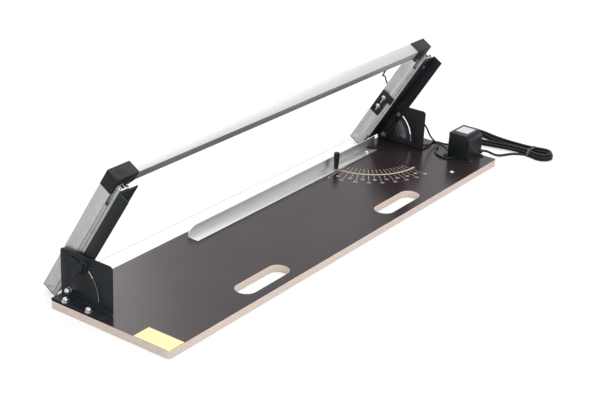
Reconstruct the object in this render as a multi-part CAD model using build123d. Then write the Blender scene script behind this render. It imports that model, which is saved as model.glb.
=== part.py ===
from build123d import *
import math
import os

# Hot-wire cutting table for insulation board. Millimetres, +X along the board away from the
# sticker end, +Y to the back edge, +Z up, origin at the middle of the board's underside.

# ---- driving dimensions -------------------------------------------------------------------
BOARD_L, BOARD_W, BOARD_T = 1300.0, 320.0, 18.0
BOARD_CORNER_R = 8.0
GRIP_L, GRIP_W, GRIP_Y = 162.0, 50.0, -111.0          # stadium hand slots near the front edge
GRIP_XS = (-294.0, 240.0)

PLATE_T = 3.0                                         # folded sheet of the two end brackets
PLATE_TOP = 126.0
PLATE_Y0, PLATE_Y1 = 18.0, 160.0
NEAR_PLATE_X, FAR_PLATE_X = -617.5, 568.0             # the -X face of each upright plate
FOOT_OUT = 32.5                                       # plate and foot together, measured along X
BOLT_YS = (62.0, 126.0)                               # two bolts through each foot

PIVOT_Y, PIVOT_Z = 136.0, 36.0                        # tilt axis, parallel to X
REST_TILT = 31.2                                      # degrees forward of upright, as drawn
ARC_R, ARC_W = 79.0, 4.8                              # clamp slot about the tilt axis
CLAMP_R = 2.0                                         # bolt that rides in the clamp slot
SHIM = 1.0                                            # nylon washer between plate and profile

RAIL_W, RAIL_D, RAIL_T = 53.0, 27.5, 3.0              # black angle that carries each slide
RAIL_BOTTOM = -12.0
RAIL_TOPS = {"near": 287.0, "far": 279.0}
WEB_FACE = 16.3                                       # slide side of the angle, from the axis
SLIDE_W, SLIDE_DEPTH, SLIDE_GAUGE = 27.0, 8.0, 1.5
SLIDE_CENTRES = {"near": -596.5, "far": 537.5}
SLIDE_BOTTOM, SLIDE_PROUD = -12.0, 4.0                # the fixed member stands above its rail
ARM_FACE = 33.3                                       # where slide ends and bow tube begins
TUBE_W, TUBE_D, TUBE_WALL = 25.0, 30.0, 2.0
BOW_X0, BOW_X1 = -610.0, 550.0
ARM_BOTTOM, BAR_BOTTOM, BAR_TOP = -58.0, 278.5, 302.5
ELBOW_L, ELBOW_S = 62.0, 263.0
WIRE_S, WIRE_Q = -46.5, 48.3

FENCE_X0, FENCE_X1, FENCE_FOOT_X1 = -246.0, 516.0, 472.0
FENCE_Y0, FENCE_Y1 = 107.0, 138.0
FENCE_H, FENCE_T, FENCE_GAP = 25.0, 2.5, 0.3
FENCE_PIVOT = (453.0, 117.0)
SCALE_R, SCALE_SLOT_W = 143.3, 7.0

BOX_X0, BOX_X1 = 574.5, 650.0                         # transformer
BOX_Y0, BOX_Y1 = -105.0, -53.0
BOX_H = 70.0
COVER_D = 8.0                                         # terminal cover in front of the block
CORD_D, LEAD_D = 6.4, 4.6

NEAR, FAR = "near", "far"
SIDES = (NEAR, FAR)


# ---- small helpers ------------------------------------------------------------------------
def block(x0, x1, y0, y1, z0, z1):
    """Axis-aligned block between two corners."""
    return Pos((x0 + x1) / 2, (y0 + y1) / 2, (z0 + z1) / 2) * Box(x1 - x0, y1 - y0, z1 - z0)


def rod_z(x, y, z0, z1, r):
    return Pos(x, y, (z0 + z1) / 2) * Cylinder(r, z1 - z0)


def rod_x(x0, x1, y, z, r):
    return Pos((x0 + x1) / 2, y, z) * Rot(0, 90, 0) * Cylinder(r, x1 - x0)


def rod_y(x, y0, y1, z, r):
    return Pos(x, (y0 + y1) / 2, z) * Rot(90, 0, 0) * Cylinder(r, y1 - y0)


def hexagon_z(x, y, z0, z1, across_flats):
    sketch = RegularPolygon(across_flats / 2, 6, major_radius=False)
    return Pos(x, y, z0) * extrude(sketch, z1 - z0)


def hexagon_x(x0, x1, y, z, across_flats):
    sketch = RegularPolygon(across_flats / 2, 6, major_radius=False)
    return Pos(x0, y, z) * Rot(0, 90, 0) * extrude(sketch, x1 - x0)


def dome(r, h):
    """Spherical cap of base radius r and height h, standing on Z = 0."""
    big = (r * r + h * h) / (2 * h)
    ball = Pos(0, 0, h - big) * Sphere(big)
    return ball & Pos(0, 0, h) * Box(4 * r, 4 * r, 2 * h)


def tilted(shape):
    """From the upright bow frame (tilt axis at the origin) to the rest position."""
    return Pos(0, PIVOT_Y, PIVOT_Z) * Rot(REST_TILT, 0, 0) * shape


def plate_x(side):
    return NEAR_PLATE_X if side == NEAR else FAR_PLATE_X


def outward(side):
    """-1 at the near end, +1 at the far end: the way out of the machine along X."""
    return -1.0 if side == NEAR else 1.0


def span(side, inner, outer):
    """X range between two distances out from a plate's inner face, low value first."""
    base = NEAR_PLATE_X + PLATE_T if side == NEAR else FAR_PLATE_X
    a = base + outward(side) * inner
    b = base + outward(side) * outer
    return min(a, b), max(a, b)


def arc_slot(x0, x1, start, end, r, width):
    """Curved slot about the tilt axis; angles in degrees forward of upright."""
    mid = (start + end) / 2
    corner = [(-r * math.sin(math.radians(t)), r * math.cos(math.radians(t))) for t in (start, mid, end)]
    path = ThreePointArc(*[(x0, PIVOT_Y + y, PIVOT_Z + z) for y, z in corner])
    profile = Plane(origin=path @ 0, z_dir=path % 0, x_dir=(1, 0, 0))
    cut = sweep(profile * Rectangle(2 * (x1 - x0), width), path=path)
    for y, z in (corner[0], corner[2]):
        cut += rod_x(x0 - 5, x1 + 5, PIVOT_Y + y, PIVOT_Z + z, width / 2)
    return cut


def ring_z(r_mid, width, start, end, z0, z1):
    """Curved slot about the fence pivot; angles in degrees from -X towards -Y."""
    a0, a1 = math.radians(180 + start), math.radians(180 + end)
    am = (a0 + a1) / 2
    path = ThreePointArc(*[(r_mid * math.cos(a), r_mid * math.sin(a), z0) for a in (a0, am, a1)])
    profile = Plane(origin=path @ 0, z_dir=path % 0, x_dir=(0, 0, 1))
    tall = z1 - z0
    cut = Pos(0, 0, tall / 2) * sweep(profile * Rectangle(tall, width), path=path)
    for a in (a0, a1):
        cut += rod_z(r_mid * math.cos(a), r_mid * math.sin(a), z0, z1, width / 2)
    return Pos(FENCE_PIVOT[0], FENCE_PIVOT[1], 0) * cut


# ---- base board ---------------------------------------------------------------------------
def base_board():
    """Film-faced plywood with hand slots, the fence's curved slot and its bolt holes."""
    board = extrude(RectangleRounded(BOARD_L, BOARD_W, BOARD_CORNER_R), BOARD_T)
    for x in GRIP_XS:
        board -= Pos(x, GRIP_Y, -1) * extrude(SlotOverall(GRIP_L, GRIP_W), BOARD_T + 2)
    board -= ring_z(SCALE_R, SCALE_SLOT_W, 0, 90, -1, BOARD_T + 1)
    board -= ring_z(SCALE_R, 20.0, 0, 90, -1, 7.5)
    board -= rod_z(*FENCE_PIVOT, -1, BOARD_T + 1, 3.2)
    board -= rod_z(*FENCE_PIVOT, -1, 6.0, 9.0)
    for side in SIDES:
        for y in BOLT_YS:
            board -= rod_z(foot_bolt_x(side), y, -1, BOARD_T + 1, 4.2)
            board -= rod_z(foot_bolt_x(side), y, -1, 5.0, 10.5)
    for x, y in [FRONT_SCREW] + lug_points():
        board -= rod_z(x, y, BOARD_T - 12.5, BOARD_T + 1, 2.1)
    return board


def foot_bolt_x(side):
    return plate_x(side) + (PLATE_T if side == NEAR else 0) + outward(side) * 25.0


def corner_sticker():
    """Plain paper label at the front corner of the near end."""
    return block(-649.0, -604.0, -159.0, -67.0, BOARD_T, BOARD_T + 0.3)


FRONT_SCREW = (491.7, -117.6)


def front_screw():
    """Round-head screw near the far front corner."""
    screw = rod_z(*FRONT_SCREW, BOARD_T - 12, BOARD_T + 1.3, 2.0)
    return screw + Pos(*FRONT_SCREW, BOARD_T + 1.3) * dome(5.5, 3.2)


def front_screw_washer():
    return rod_z(*FRONT_SCREW, BOARD_T, BOARD_T + 1.2, 8.5) - rod_z(*FRONT_SCREW, 0, 30, 2.2)


def lug_points():
    """Screw places of the transformer's foot plate."""
    return [(x, y) for x in (BOX_X0 + 9.0, BOX_X1 - 9.0) for y in (BOX_Y0 - COVER_D - 6.0, BOX_Y1 + 8.0)]


# ---- end brackets -------------------------------------------------------------------------
def bracket(side):
    """Folded sheet: a foot bolted to the board and an upright plate with the clamp slot."""
    x0, x1 = span(side, 0, PLATE_T)
    plate = block(x0, x1, PLATE_Y0, PLATE_Y1, BOARD_T, PLATE_TOP)
    plate -= corner_cut(x0, x1, PLATE_Y0, PLATE_TOP, 8.0, 1)
    plate -= corner_cut(x0, x1, PLATE_Y1, PLATE_TOP, 8.0, -1)
    f0, f1 = span(side, PLATE_T, FOOT_OUT)
    foot = block(f0, f1, PLATE_Y0, PLATE_Y1, BOARD_T, BOARD_T + PLATE_T)
    body = plate + foot
    along = body.edges().filter_by(Axis.Y)
    inside, crease = (x1, x0) if side == NEAR else (x0, x1)
    body = fillet([e for e in along if near_point(e, inside, BOARD_T)], PLATE_T + 1.2)
    along = body.edges().filter_by(Axis.Y)
    body = fillet([e for e in along if near_point(e, crease, BOARD_T + PLATE_T)], 1.2)
    body -= rod_x(x0 - 1, x1 + 1, PIVOT_Y, PIVOT_Z, 4.05)
    body -= arc_slot(x0, x1, 0, 90, ARC_R, ARC_W)
    for y in BOLT_YS:
        body -= rod_z(foot_bolt_x(side), y, BOARD_T - 1, BOARD_T + PLATE_T + 1, 4.3)
    return body


def near_point(edge, x, z):
    """True for an edge along Y whose middle is at this X and Z."""
    middle = edge.center()
    return abs(middle.X - x) < 0.01 and abs(middle.Z - z) < 0.01


def corner_cut(x0, x1, y, z, r, inward):
    """Waste outside a rounded top corner of a plate."""
    waste = block(x0 - 1, x1 + 1, min(y, y + inward * r), max(y, y + inward * r), z - r, z)
    return waste - rod_x(x0 - 2, x1 + 2, y + inward * r, z - r, r)


def foot_bolts(side):
    """Coach bolts up through the board, their heads sunk in the underside."""
    group = []
    x = foot_bolt_x(side)
    top = BOARD_T + PLATE_T
    for y in BOLT_YS:
        bolt = rod_z(x, y, 4.5, top + 9.0, 4.0)
        bolt += Pos(x, y, 4.5) * Rot(180, 0, 0) * dome(9.5, 4.0)
        group.append(bolt)
    return Compound(group)


def foot_nuts(side):
    """Domed nut with a flange on each bolt."""
    group = []
    x = foot_bolt_x(side)
    top = BOARD_T + PLATE_T
    for y in BOLT_YS:
        nut = rod_z(x, y, top, top + 1.6, 8.6)
        nut += hexagon_z(x, y, top + 1.6, top + 6.5, 13.0)
        nut += Pos(x, y, top + 6.5) * dome(6.2, 4.6)
        nut -= rod_z(x, y, top - 1, top + 9.3, 4.15)
        group.append(nut)
    return Compound(group)


def tilt_scale_label():
    """Printed angle scale stuck on the inner face of the far plate, inside the curved slot."""
    corner = [(-53 * math.sin(math.radians(t)), 53 * math.cos(math.radians(t))) for t in (36, 62, 88)]
    path = ThreePointArc(*[(FAR_PLATE_X - 0.15, PIVOT_Y + y, PIVOT_Z + z) for y, z in corner])
    profile = Plane(origin=path @ 0, z_dir=path % 0, x_dir=(1, 0, 0))
    return sweep(profile * Rectangle(0.3, 34.0), path=path)


# ---- tilting frame ------------------------------------------------------------------------
def rail_span(side):
    return span(side, -SHIM - RAIL_W, -SHIM)


def rail(side):
    """Black angle: the wide leaf carries the slide, the narrow leaf lies along the plate."""
    low, high = rail_span(side)
    top = RAIL_TOPS[side]
    leaf = block(low, high, WEB_FACE - RAIL_T, WEB_FACE, RAIL_BOTTOM, top)
    f0, f1 = span(side, -SHIM - RAIL_T, -SHIM)
    narrow = block(f0, f1, WEB_FACE - RAIL_D, WEB_FACE, RAIL_BOTTOM, top)
    r = 12.0
    y = WEB_FACE - RAIL_D
    waste = block(f0 - 1, f1 + 1, y - 1, y + r, RAIL_BOTTOM - 1, RAIL_BOTTOM + r)
    waste -= rod_x(f0 - 2, f1 + 2, y + r, RAIL_BOTTOM + r, r)
    body = leaf + (narrow - waste)
    body -= rod_x(f0 - 1, f1 + 1, 0, 0, 4.1)
    body -= rod_x(f0 - 1, f1 + 1, 0, ARC_R, CLAMP_R + 0.1)
    for s in RAIL_SCREWS:
        body -= rod_y(SLIDE_CENTRES[side], 0, WEB_FACE + 1, s, 2.6)
    return tilted(body)


RAIL_SCREWS = (-5.0, 250.0)


def rail_screws(side):
    """Two screws through the wide leaf into the slide, heads on the front."""
    group = []
    x = SLIDE_CENTRES[side]
    for s in RAIL_SCREWS:
        back = WEB_FACE - RAIL_T
        screw = rod_y(x, back, WEB_FACE + SLIDE_GAUGE + 0.2, s, 2.4)
        screw += Pos(x, back, s) * Rot(90, 0, 0) * dome(5.2, 2.6)
        group.append(tilted(screw))
    return Compound(group)


def channel(side, back, lip, s0, s1):
    """Cold-rolled slide member: rounded back, two sides and inturned lips, from s0 to s1."""
    x, g = SLIDE_CENTRES[side], SLIDE_GAUGE
    way = 1.0 if lip > back else -1.0
    pick = 0 if way > 0 else -1
    outside = Pos(x, (back + lip) / 2) * Rectangle(SLIDE_W, SLIDE_DEPTH)
    outside = fillet(outside.vertices().group_by(Axis.Y)[pick], 2.6)
    hollow = Pos(x, (back + lip) / 2) * Rectangle(SLIDE_W - 2 * g, SLIDE_DEPTH - 2 * g)
    mouth = Pos(x, lip - way * g / 2) * Rectangle(SLIDE_W - 2 * g - 2 * LIP, 1.5 * g)
    return Pos(0, 0, s0) * extrude(outside - hollow - mouth, s1 - s0)


LIP = 2.5
RACE_X, BALL_R = 10.3, 1.4
MID_W, MID_GAUGE, MID_WEB = 17.2, 1.4, 4.0
MID_Q0, MID_Q1 = WEB_FACE + 2.5, ARM_FACE - 2.5


def slide_outer(side):
    """Fixed slide member, screwed to the rail."""
    body = channel(side, WEB_FACE, WEB_FACE + SLIDE_DEPTH, SLIDE_BOTTOM, RAIL_TOPS[side] + SLIDE_PROUD)
    for s in RAIL_SCREWS:
        body -= rod_y(SLIDE_CENTRES[side], WEB_FACE - 1, WEB_FACE + SLIDE_GAUGE + 1, s, 2.5)
    return tilted(body)


def slide_middle(side):
    """Intermediate member, an I section running between the two channels."""
    x = SLIDE_CENTRES[side]
    g = MID_GAUGE
    shape = Pos(x, MID_Q0 + g / 2) * Rectangle(MID_W, g)
    shape += Pos(x, MID_Q1 - g / 2) * Rectangle(MID_W, g)
    for dx in (-MID_WEB, MID_WEB):
        shape += Pos(x + dx, (MID_Q0 + MID_Q1) / 2) * Rectangle(g, MID_Q1 - MID_Q0)
    return tilted(Pos(0, 0, -8.0) * extrude(shape, RAIL_TOPS[side] + 10.0))


def ball_cages(side):
    """Retainer strips with their balls, one in each of the four ball races."""
    x = SLIDE_CENTRES[side]
    group = []
    for dx in (-RACE_X, RACE_X):
        for q in (MID_Q0 + 0.7, MID_Q1 - 0.7):
            strip = block(x + dx - 0.7, x + dx + 0.7, q - 1.2, q + 1.2, 40.0, 190.0)
            for k in range(7):
                strip += Pos(x + dx, q, 50.0 + 21.0 * k) * Sphere(BALL_R)
            group.append(tilted(strip))
    return Compound(group)


def slide_inner(side):
    """Moving slide member, screwed to the front of the bow arm."""
    body = channel(side, ARM_FACE, ARM_FACE - SLIDE_DEPTH, ARM_BOTTOM, SLIDE_INNER_TOP)
    for s in ARM_SCREWS:
        body -= rod_y(arm_centre(side), ARM_FACE - SLIDE_GAUGE - 1, ARM_FACE + 1, s, 2.3)
    return tilted(body)


SLIDE_INNER_TOP = 235.0


def pivot_bolt(side):
    """Shoulder bolt of the tilt axis: flat head inside, domed nut outside."""
    h0, h1 = span(side, -SHIM - RAIL_T - 5.0, -SHIM - RAIL_T)
    s0, s1 = span(side, -SHIM - RAIL_T, PLATE_T + 9.0)
    bolt = hexagon_x(h0, h1, 0, 0, 13.0) + rod_x(s0, s1, 0, 0, 4.0)
    return tilted(bolt)


def pivot_nut(side):
    """Washer and domed nut on the outer end of the tilt bolt."""
    w0, w1 = span(side, PLATE_T + 0.3, PLATE_T + 1.9)
    n0, n1 = span(side, PLATE_T + 1.9, PLATE_T + 8.0)
    nut = rod_x(w0, w1, 0, 0, 7.4) + hexagon_x(n0, n1, 0, 0, 13.0)
    face = n0 if side == NEAR else n1
    nut += Pos(face, 0, 0) * Rot(0, 90 * outward(side), 0) * dome(6.2, 5.6)
    b0, b1 = span(side, 0, PLATE_T + 9.3)
    nut -= rod_x(b0, b1, 0, 0, 4.1)
    return tilted(nut)


def pivot_shim(side):
    """Nylon washer between the plate and the rail, around the tilt bolt."""
    a, b = span(side, -SHIM + 0.05, -0.05)
    return tilted(rod_x(a, b, 0, 0, 9.0) - rod_x(a - 1, b + 1, 0, 0, 4.1))


def clamp_bolt(side):
    """Bolt that rides in the curved slot: round head inside, thread outside."""
    h0, h1 = span(side, -SHIM - RAIL_T - 4.0, -SHIM - RAIL_T)
    s0, s1 = span(side, -SHIM - RAIL_T, PLATE_T + 11.0)
    bolt = rod_x(h0, h1, 0, ARC_R, 6.0) + rod_x(s0, s1, 0, ARC_R, CLAMP_R)
    return tilted(bolt)


def clamp_washer(side):
    w0, w1 = span(side, PLATE_T + 0.2, PLATE_T + 1.8)
    return tilted(rod_x(w0, w1, 0, ARC_R, 8.0) - rod_x(w0 - 1, w1 + 1, 0, ARC_R, CLAMP_R + 0.1))


LEVER_L, LEVER_LEAN = 24.0, 8.0


def clamp_lever(side):
    """Moulded lever nut on the clamp bolt; it points back towards the tilt axis at rest."""
    a0, a1 = span(side, PLATE_T + 2.0, PLATE_T + 14.0)
    hub = rod_x(a0, a1, 0, 0, 7.5)
    l0, l1 = span(side, PLATE_T + 8.0, PLATE_T + 14.0)
    arm = block(l0, l1, -4.5, 4.5, -LEVER_L, 0)
    arm += rod_x(l0, l1, 0, -LEVER_L, 4.5)
    body = hub + arm
    hole0, hole1 = span(side, PLATE_T, PLATE_T + 11.3)
    body -= rod_x(hole0, hole1, 0, 0, CLAMP_R + 0.3)
    return tilted(Pos(0, 0, ARC_R) * Rot(LEVER_LEAN, 0, 0) * body)


# ---- bow ----------------------------------------------------------------------------------
ARM_SCREWS = (-20.0, 200.0)
SPIGOT_GAP = 0.25


def arm_span(side):
    return (BOW_X0, BOW_X0 + TUBE_W) if side == NEAR else (BOW_X1 - TUBE_W, BOW_X1)


def arm_centre(side):
    low, high = arm_span(side)
    return (low + high) / 2


def arm(side):
    """Rectangular aluminium tube standing on the slide."""
    low, high = arm_span(side)
    q0, q1 = ARM_FACE, ARM_FACE + TUBE_D
    w = TUBE_WALL
    body = block(low, high, q0, q1, ARM_BOTTOM + 2.0, ELBOW_S)
    body -= block(low + w, high - w, q0 + w, q1 - w, ARM_BOTTOM, ELBOW_S + 1)
    for s in ARM_SCREWS:
        body -= rod_y(arm_centre(side), q0 - 1, q0 + w + 1, s, 2.3)
    if side == FAR:
        body -= rod_y(arm_centre(side), q1 - w - 1, q1 + 1, JUMPER[-1][2], 3.0)
    body -= rod_x(low - 1, high + 1, WIRE_Q, WIRE_S, 4.0)
    if side == FAR:
        for s in STOP_SCREWS:
            body -= rod_x(low - 1, low + w + 1, STOP_Q, s, 2.0)
    return tilted(body)


def arm_screws(side):
    """Countersunk screws that hold the moving slide member to the arm."""
    group = []
    for s in ARM_SCREWS:
        x = arm_centre(side)
        screw = rod_y(x, ARM_FACE - SLIDE_GAUGE - 0.2, ARM_FACE + TUBE_WALL + 3.0, s, 2.1)
        screw += rod_y(x, ARM_FACE + TUBE_WALL, ARM_FACE + TUBE_WALL + 3.4, s, 4.0)
        group.append(tilted(screw))
    return Compound(group)


def arm_foot(side):
    """Plastic plug closing the lower end of the arm."""
    low, high = arm_span(side)
    q0, q1 = ARM_FACE, ARM_FACE + TUBE_D
    w = TUBE_WALL + SPIGOT_GAP
    plug = block(low, high, q0, q1, ARM_BOTTOM, ARM_BOTTOM + 2.0)
    plug += block(low + w, high - w, q0 + w, q1 - w, ARM_BOTTOM + 2.0, WIRE_S - 5.0)
    return tilted(plug)


def top_bar():
    """Rectangular aluminium tube joining the two arms."""
    q0, q1 = ARM_FACE, ARM_FACE + TUBE_D
    w = TUBE_WALL
    x0, x1 = BOW_X0 + ELBOW_L, BOW_X1 - ELBOW_L
    bar = block(x0, x1, q0, q1, BAR_BOTTOM, BAR_TOP)
    bar -= block(x0 - 1, x1 + 1, q0 + w, q1 - w, BAR_BOTTOM + w, BAR_TOP - w)
    bar -= rod_z(JUMPER_X, (q0 + q1) / 2, BAR_BOTTOM - 1, BAR_BOTTOM + w + 1, 3.0)
    return tilted(bar)


JUMPER_X = 405.0


def elbow(side):
    """Moulded corner with a spigot into each tube and a gusset inside the corner."""
    sign = 1 if side == NEAR else -1
    corner = BOW_X0 if side == NEAR else BOW_X1
    q0, q1 = ARM_FACE, ARM_FACE + TUBE_D
    pts = [(0, ELBOW_S), (0, BAR_TOP + 0.6), (ELBOW_L, BAR_TOP + 0.6), (ELBOW_L, BAR_BOTTOM),
           (TUBE_W, ELBOW_S), (0, ELBOW_S)]
    outline = make_face(Polyline([(corner + sign * a, b) for a, b in pts]))
    body = solid_along_y(outline, q0 - 0.4, q1 + 0.4)
    rib = [(TUBE_W, ELBOW_S), (ELBOW_L, BAR_BOTTOM), (TUBE_W, ELBOW_S - 13.0), (TUBE_W, ELBOW_S)]
    rib_face = make_face(Polyline([(corner + sign * a, b) for a, b in rib]))
    body += solid_along_y(rib_face, q0 + 3, q1 - 3)
    w = TUBE_WALL + SPIGOT_GAP
    low, high = arm_span(side)
    body += block(low + w, high - w, q0 + w, q1 - w, ELBOW_S - 30.0, ELBOW_S)
    inner = corner + sign * ELBOW_L
    deep = inner + sign * 30.0
    body += block(min(inner, deep), max(inner, deep), q0 + w, q1 - w, BAR_BOTTOM + w, BAR_TOP - w)
    for dq in (9.0, 21.0):
        body -= rod_z(corner + sign * 10.0, q0 + dq, BAR_TOP - 12.0, BAR_TOP + 2, 2.1)
    return tilted(body)


def solid_along_y(face, y0, y1):
    """Extrude an XZ outline drawn as (x, z) from y0 to y1."""
    return Pos(0, y1, 0) * Rot(90, 0, 0) * extrude(face, y1 - y0)


def elbow_screws(side):
    """Two pan-head screws in the top of the elbow."""
    sign = 1 if side == NEAR else -1
    corner = BOW_X0 if side == NEAR else BOW_X1
    x = corner + sign * 10.0
    group = []
    for dq in (9.0, 21.0):
        q = ARM_FACE + dq
        top = BAR_TOP + 0.6
        screw = rod_z(x, q, top - 10.0, top, 1.9) + Pos(x, q, top) * dome(3.0, 1.2)
        group.append(tilted(screw))
    return Compound(group)


def anchor_insulator(side):
    """Flanged bush that keeps the live wire off the arm tube."""
    low, high = arm_span(side)
    bush = rod_x(low - 1.2, high + 1.2, WIRE_Q, WIRE_S, 3.8)
    bush += rod_x(low - 1.2, low - 0.1, WIRE_Q, WIRE_S, 6.5)
    bush += rod_x(high + 0.1, high + 1.2, WIRE_Q, WIRE_S, 6.5)
    bush -= rod_x(low - 2, high + 2, WIRE_Q, WIRE_S, 2.1)
    return tilted(bush)


def anchor_screw(side):
    """Brass terminal screw through the bush, with a hook eye for the wire inside."""
    low, high = arm_span(side)
    a, b = (low - 3.6, high + 6.0) if side == NEAR else (low - 6.0, high + 3.6)
    screw = rod_x(a, b, WIRE_Q, WIRE_S, 2.0)
    h0, h1 = (low - 3.6, low - 1.3) if side == NEAR else (high + 1.3, high + 3.6)
    screw += rod_x(h0, h1, WIRE_Q, WIRE_S, 4.2)
    return tilted(screw)


def wire_spring():
    """Tension spring at the near end that keeps the wire tight as it grows hot."""
    x0 = arm_span(NEAR)[1] + 6.0
    turns, pitch = 11, 2.2
    helix = Helix(pitch=pitch, height=turns * pitch, radius=3.4)
    profile = Plane(origin=helix @ 0, z_dir=helix % 0) * Circle(0.6)
    coil = Rot(0, 90, 0) * sweep(profile, path=helix, is_frenet=True)
    return tilted(Pos(x0, WIRE_Q, WIRE_S) * coil)


def hot_wire():
    """Resistance wire between the spring and the far terminal."""
    x0 = arm_span(NEAR)[1] + 6.0 + 11 * 2.2
    x1 = arm_span(FAR)[0] - 6.0
    return tilted(rod_x(x0, x1, WIRE_Q, WIRE_S, 0.4))


STOP_Q, STOP_SCREWS = 47.5, (79.0, 110.0)
STOP_S0, STOP_S1 = 54.0, 125.0
STOP_T, STOP_GAP = 3.0, 1.4


def stop_block():
    """Black stop on the far arm, set by its long slot; a tab laps the side of the slide."""
    low = arm_span(FAR)[0]
    front, back = ARM_FACE + 0.6, ARM_FACE + TUBE_D - 2.0
    face = low - STOP_GAP - STOP_T
    body = block(face, face + STOP_T, front, back, STOP_S0, STOP_S1)
    body += block(face, face + STOP_T, 22.0, front, STOP_S1 - 20.0, STOP_S1)
    body += block(face + STOP_T, low - 0.2, front, back, STOP_S0, STOP_S1)
    slot = block(face - 1, low, STOP_Q - 2.6, STOP_Q + 2.6, STOP_S0 + 8, STOP_S1 - 8)
    for s in (STOP_S0 + 8, STOP_S1 - 8):
        slot += rod_x(face - 1, low, STOP_Q, s, 2.6)
    return tilted(body - slot)


def stop_screws():
    """Pan-head screws with washers, through the slot into the arm."""
    group = []
    low = arm_span(FAR)[0]
    face = low - STOP_GAP - STOP_T
    for s in STOP_SCREWS:
        screw = rod_x(face - 1.0, face - 0.05, STOP_Q, s, 6.0)
        screw += rod_x(face - 1.0, low + TUBE_WALL + 1.5, STOP_Q, s, 1.9)
        screw += Pos(face - 1.0, STOP_Q, s) * Rot(0, -90, 0) * dome(4.4, 2.4)
        group.append(tilted(screw))
    return Compound(group)


JUMPER_D = 4.0
JUMPER = [(JUMPER_X, 48.3, 279.5), (JUMPER_X, 48.8, 258.0), (412.0, 51.0, 236.0), (432.0, 57.0, 214.0),
          (462.0, 65.0, 194.0), (494.0, 73.0, 177.0), (520.0, 78.0, 160.0), (534.0, 77.0, 146.0),
          (537.5, 70.0, 138.0), (537.5, 60.5, 136.0)]


def jumper_lead():
    """Lead out of the top bar and into the back of the far arm, on its way to the wire."""
    return tilted(cable(JUMPER, JUMPER_D))


# ---- fence --------------------------------------------------------------------------------
def fence_angle():
    """Aluminium angle that the work rests against."""
    z0 = BOARD_T + FENCE_GAP
    pts = [(FENCE_X0, FENCE_Y1), (FENCE_X0 - 1, FENCE_Y0), (FENCE_FOOT_X1 + 14, FENCE_Y0),
           (FENCE_FOOT_X1, FENCE_Y1 - 3), (FENCE_FOOT_X1, FENCE_Y1), (FENCE_X0, FENCE_Y1)]
    foot = Pos(0, 0, z0) * extrude(make_face(Polyline(pts)), FENCE_T)
    wall_pts = [(FENCE_X0, z0), (FENCE_X0, z0 + 12), (FENCE_X0 + 10, z0 + 20), (FENCE_X0 + 22, z0 + FENCE_H),
                (FENCE_X1, z0 + FENCE_H), (FENCE_X1, z0), (FENCE_X0, z0)]
    wall = solid_along_y(make_face(Polyline(wall_pts)), FENCE_Y1 - FENCE_T, FENCE_Y1)
    body = foot + wall
    body -= rod_z(*FENCE_PIVOT, z0 - 1, z0 + FENCE_T + 1, 3.05)
    body -= rod_z(FENCE_PIVOT[0] - SCALE_R, FENCE_PIVOT[1], z0 - 1, z0 + FENCE_T + 1, 3.2)
    return body


def fence_pivot_bolt():
    """Pan-head bolt of the fence pivot, held under the board."""
    x, y = FENCE_PIVOT
    top = BOARD_T + FENCE_GAP + FENCE_T + 0.2
    bolt = rod_z(x, y, 1.0, top, 3.0) + rod_z(x, y, top, top + 1.2, 6.5)
    bolt += Pos(x, y, top + 1.2) * dome(5.5, 3.0)
    return bolt


def fence_pivot_nut():
    x, y = FENCE_PIVOT
    return hexagon_z(x, y, 0.8, 5.9, 13.0) - rod_z(x, y, 0, 7, 3.1)


def fence_stud():
    """T-bolt that slides in the curved slot under the fence."""
    x, y = FENCE_PIVOT[0] - SCALE_R, FENCE_PIVOT[1]
    return rod_z(x, y, 2.2, 48.0, 3.0) + block(x - 6.5, x + 6.5, y - 6.5, y + 6.5, 2.2, 7.0)


def fence_knob():
    """Tapered black grip that clamps the fence."""
    x, y = FENCE_PIVOT[0] - SCALE_R, FENCE_PIVOT[1]
    z0 = BOARD_T + FENCE_GAP + FENCE_T + 0.3
    h = 43.0
    pts = [(0, 0), (5.8, 0), (6.0, 6.0), (7.4, 30.0), (7.6, h - 3.5), (6.2, h - 0.8), (4.0, h), (0, h),
           (0, 0)]
    profile = Plane.XZ * make_face(Polyline(pts))
    grip = Pos(x, y, z0) * revolve(profile, Axis.Z)
    return grip - rod_z(x, y, z0 - 1, 48.4, 3.15)


def board_nuts():
    """The domed foot nuts of both brackets and the fence pivot's nut under the board."""
    return Compound(foot_nuts(NEAR).solids() + foot_nuts(FAR).solids() + [fence_pivot_nut()])


# ---- transformer and leads ----------------------------------------------------------------
def transformer_base():
    """Foot plate with four round-ended screw lugs."""
    top = BOARD_T + 3.0
    body = block(BOX_X0, BOX_X1, BOX_Y0 - COVER_D, BOX_Y1 + 2.0, BOARD_T, top)
    for x, y in lug_points():
        body += block(x - 6, x + 6, min(y, BOX_Y0), max(y, BOX_Y0), BOARD_T, top)
        body += rod_z(x, y, BOARD_T, top, 6)
        body -= rod_z(x, y, BOARD_T - 1, top + 1, 2.2)
    return body


def transformer_screws():
    group = []
    for x, y in lug_points():
        shank = rod_z(x, y, BOARD_T - 12, BOARD_T + 3.1, 1.9)
        group.append(shank + Pos(x, y, BOARD_T + 3.1) * dome(4.2, 2.6))
    return Compound(group)


def transformer_case():
    """Potted block with softened upright edges."""
    z0 = BOARD_T + 3.0
    body = block(BOX_X0, BOX_X1, BOX_Y0, BOX_Y1, z0, BOARD_T + BOX_H)
    body = fillet(body.edges().filter_by(Axis.Z), 4.0)
    body = chamfer(body.faces().sort_by(Axis.Z)[-1].edges(), 1.5)
    return body


def transformer_cover():
    """Lower terminal cover across the front of the block, with a sloping top."""
    z0 = BOARD_T + 3.0
    y0, y1 = BOX_Y0 - COVER_D, BOX_Y0
    pts = [(y0, z0), (y0, z0 + 52.0), (y1, z0 + 61.0), (y1, z0), (y0, z0)]
    face = make_face(Polyline([(0, y, z) for y, z in pts]))
    return Pos(BOX_X0 + 4, 0, 0) * extrude(face, BOX_X1 - BOX_X0 - 4.0, dir=(1, 0, 0))


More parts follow.
